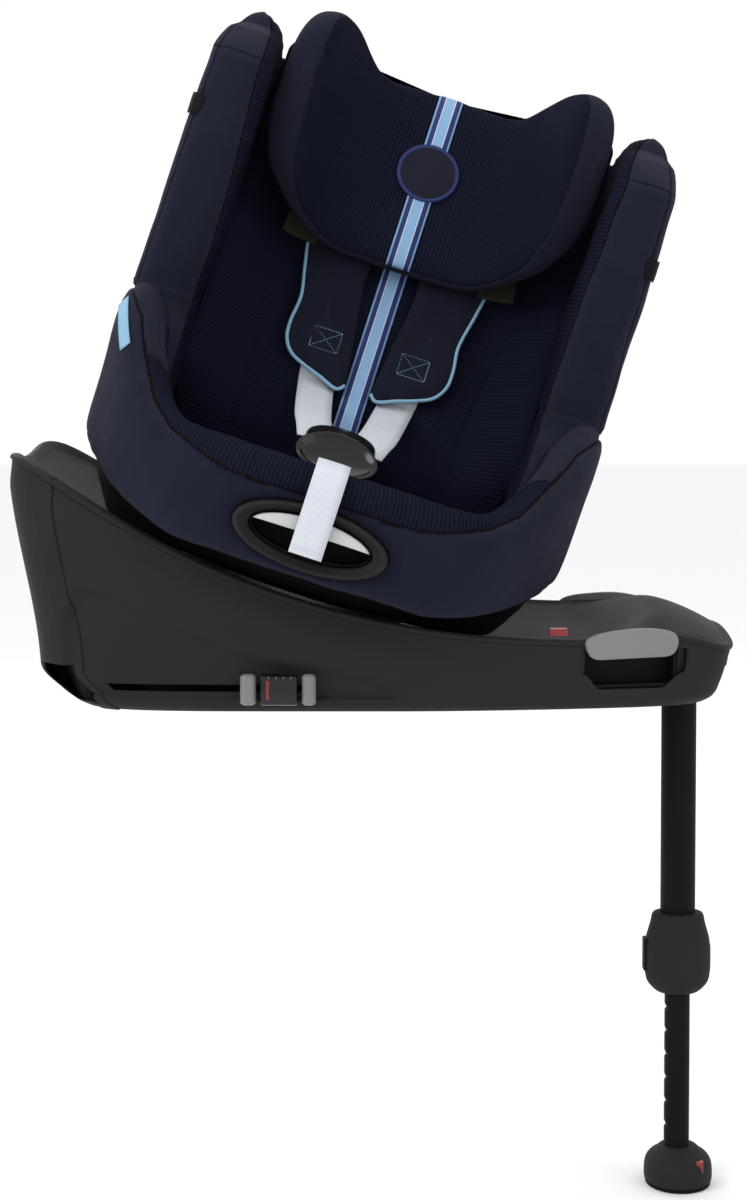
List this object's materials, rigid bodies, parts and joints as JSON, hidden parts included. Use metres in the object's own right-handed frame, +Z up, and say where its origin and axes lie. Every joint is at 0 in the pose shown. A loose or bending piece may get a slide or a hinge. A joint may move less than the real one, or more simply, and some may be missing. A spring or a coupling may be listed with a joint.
{
  "type": "convertible car seat",
  "caption": "Swivelling child car seat with a padded shell, height adjustable headrest, harness and buckle, on a base with anchor arms and a support leg.",
  "frame": {"origin": "centre of the base's flat underside, under the middle of the base", "axes": "+X towards the front of the car (support leg), +Y away from the door that the seat is turned to, +Z up"},
  "size_m": [0.6358, 0.4798, 1.0838],
  "materials": {
    "charcoal_plastic": "fine moulded grain, satin charcoal",
    "black_plastic": "matt black moulding",
    "grey_plastic": "satin mid grey moulding",
    "pale_plastic": "satin light grey moulding",
    "red_plastic": "red indicator or button",
    "zinc_steel": "zinc plated steel",
    "black_tube": "black powder coat",
    "sole_rubber": "black rubber",
    "navy_fabric": "dark navy fine knit",
    "navy_mesh": "dark navy spacer mesh",
    "white_webbing": "pale lilac grey webbing",
    "black_webbing": "black webbing"
  },
  "bodies": {
    "base": {"base_lower_shell": "charcoal_plastic", "base_upper_cover": "charcoal_plastic", "chassis_plate": "zinc_steel", "leg_bracket": "zinc_steel", "leg_pivot_pin": "zinc_steel", "release_pocket_near": "black_plastic", "release_pocket_far": "black_plastic", "swivel_pedestal": "charcoal_plastic", "bearing_ring": "zinc_steel", "lock_indicator": "red_plastic"},
    "release_near": {"release_handle_near": "grey_plastic"},
    "release_far": {"release_handle_far": "grey_plastic"},
    "leg_upper": {"leg_outer_tube": "black_tube", "leg_collar": "charcoal_plastic"},
    "leg_button": {"leg_lock_button": "black_plastic"},
    "leg_lower": {"leg_inner_tube": "black_tube", "leg_foot": "charcoal_plastic", "foot_sole": "sole_rubber", "foot_indicator": "red_plastic"},
    "swivel": {"turntable": "black_plastic", "swivel_retainer": "zinc_steel", "carrier_plate": "charcoal_plastic", "recline_rail_left": "zinc_steel", "recline_rail_right": "zinc_steel"},
    "seat": {"seat_tub": "charcoal_plastic", "backrest_shell": "charcoal_plastic", "recline_shoe_left": "black_plastic", "recline_shoe_right": "black_plastic", "handle_bezel": "charcoal_plastic", "handle_cup": "black_plastic", "hip_surround": "navy_fabric", "seat_cushion": "navy_fabric", "back_cushion": "navy_mesh", "wing_pad_left": "navy_fabric", "wing_pad_right": "navy_fabric", "shoulder_strap_left": "white_webbing", "shoulder_strap_right": "white_webbing", "adjuster_strap": "white_webbing", "crotch_strap": "black_webbing", "buckle_housing": "black_plastic"},
    "recline_handle": {"recline_lever": "pale_plastic"},
    "buckle_release": {"buckle_button": "red_plastic"},
    "headrest": {"headrest_shell": "charcoal_plastic", "headrest_cushion": "navy_mesh", "shoulder_pad_left": "navy_fabric", "shoulder_pad_right": "navy_fabric"},
    "headrest_release": {"headrest_lever": "grey_plastic"},
    "anchor_near": {"anchor_arm_near": "zinc_steel", "anchor_jaw_near": "charcoal_plastic", "arm_slider_near": "black_plastic"},
    "squeeze_rear_near": {"squeeze_button_rear_near": "grey_plastic"},
    "squeeze_front_near": {"squeeze_button_front_near": "grey_plastic"},
    "hook_near": {"latch_hook_near": "zinc_steel"},
    "anchor_far": {"anchor_arm_far": "zinc_steel", "anchor_jaw_far": "charcoal_plastic", "arm_slider_far": "black_plastic"},
    "squeeze_rear_far": {"squeeze_button_rear_far": "grey_plastic"},
    "squeeze_front_far": {"squeeze_button_front_far": "grey_plastic"},
    "hook_far": {"latch_hook_far": "zinc_steel"}
  },
  "joints": [
    {"name": "seat_swivel", "type": "hinge", "parent": "base", "child": "swivel", "pos_m": [-0.077, 0, 0.079], "axis": [0.309, 0, 0.9511], "continuous": true},
    {"name": "seat_recline", "type": "hinge", "parent": "swivel", "child": "seat", "pos_m": [0.05279, 0, 0.47844], "axis": [-0.9511, 0, 0.309], "range_deg": [0, 10]},
    {"name": "recline_lever_pull", "type": "hinge", "parent": "seat", "child": "recline_handle", "pos_m": [-0.04718, -0.2375, 0.17078], "axis": [-0.9511, 0, 0.309], "range_deg": [0, 10], "stiffness_Nm_per_rad": 0.3},
    {"name": "buckle_press", "type": "slide", "parent": "seat", "child": "buckle_release", "axis": [-0.2939, 0.309, -0.9045], "range_m": [0, 0.003], "stiffness_N_per_m": 900},
    {"name": "headrest_height", "type": "slide", "parent": "seat", "child": "headrest", "axis": [0.2865, 0.3746, 0.8818], "range_m": [0, 0.1]},
    {"name": "headrest_lever_pull", "type": "slide", "parent": "headrest", "child": "headrest_release", "axis": [0.2865, 0.3746, 0.8818], "range_m": [0, 0.003], "stiffness_N_per_m": 700},
    {"name": "release_near_pull", "type": "hinge", "parent": "base", "child": "release_near", "pos_m": [0.22235, -0.15176, 0.0695], "axis": [-0.9774, -0.2114, 0], "range_deg": [0, 18], "stiffness_Nm_per_rad": 0.6},
    {"name": "release_far_pull", "type": "hinge", "parent": "base", "child": "release_far", "pos_m": [0.22235, 0.15176, 0.0695], "axis": [0.9774, -0.2114, 0], "range_deg": [0, 18], "stiffness_Nm_per_rad": 0.6},
    {"name": "anchor_near_slide", "type": "slide", "parent": "base", "child": "anchor_near", "axis": [-1, 0, 0], "range_m": [0, 0.12]},
    {"name": "squeeze_rear_near_press", "type": "slide", "parent": "anchor_near", "child": "squeeze_rear_near", "axis": [1, 0, 0], "range_m": [0, 0.0028], "stiffness_N_per_m": 700},
    {"name": "squeeze_front_near_press", "type": "slide", "parent": "anchor_near", "child": "squeeze_front_near", "axis": [-1, 0, 0], "range_m": [0, 0.0028], "stiffness_N_per_m": 700},
    {"name": "hook_near_turn", "type": "hinge", "parent": "anchor_near", "child": "hook_near", "pos_m": [-0.18, -0.14, 0.03], "axis": [0, 1, 0], "range_deg": [0, 6]},
    {"name": "anchor_far_slide", "type": "slide", "parent": "base", "child": "anchor_far", "axis": [-1, 0, 0], "range_m": [0, 0.12]},
    {"name": "squeeze_rear_far_press", "type": "slide", "parent": "anchor_far", "child": "squeeze_rear_far", "axis": [1, 0, 0], "range_m": [0, 0.0028], "stiffness_N_per_m": 700},
    {"name": "squeeze_front_far_press", "type": "slide", "parent": "anchor_far", "child": "squeeze_front_far", "axis": [-1, 0, 0], "range_m": [0, 0.0028], "stiffness_N_per_m": 700},
    {"name": "hook_far_turn", "type": "hinge", "parent": "anchor_far", "child": "hook_far", "pos_m": [-0.18, 0.14, 0.03], "axis": [0, 1, 0], "range_deg": [0, 6]},
    {"name": "leg_fold", "type": "hinge", "parent": "base", "child": "leg_upper", "pos_m": [0.2815, 0, 0.014], "axis": [0, 1, 0], "range_deg": [0, 78]},
    {"name": "leg_button_press", "type": "slide", "parent": "leg_upper", "child": "leg_button", "axis": [1, 0, 0], "range_m": [0, 0.0025], "stiffness_N_per_m": 700},
    {"name": "leg_length", "type": "slide", "parent": "leg_upper", "child": "leg_lower", "axis": [0, 0, 1], "range_m": [-0.04, 0.11]}
  ],
  "couplings": [
    {"joint": "hook_near_turn", "follows": "squeeze_rear_near_press", "rad_per_m": 37},
    {"joint": "hook_far_turn", "follows": "squeeze_rear_far_press", "rad_per_m": 37}
  ]
}
